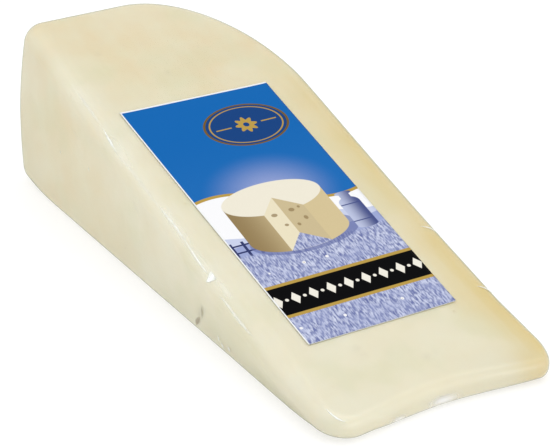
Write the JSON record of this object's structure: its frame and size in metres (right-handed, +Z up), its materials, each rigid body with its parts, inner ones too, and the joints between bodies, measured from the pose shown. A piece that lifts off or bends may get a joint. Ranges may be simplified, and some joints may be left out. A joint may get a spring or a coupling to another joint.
{
  "type": "goat cheese wedge in clear film",
  "caption": "Thin wedge of pale semi-hard goat cheese in tight clear film, lying on one cut face, with a plain printed label on the sloping face.",
  "frame": {"origin": "middle of the wedge's box, on the ground under it", "axes": "+Y from the thin tip towards the high rim, +Z up, +X towards the wheel's own flat side"},
  "size_m": [0.0584, 0.1486, 0.0432],
  "materials": {
    "cheese": "pale ivory cheese under tight clear glossy film",
    "label": "satin printed label, blue with pale and gold fields"
  },
  "bodies": {
    "root": {"wrapped_wedge": "cheese", "label": "label"}
  },
  "joints": []
}
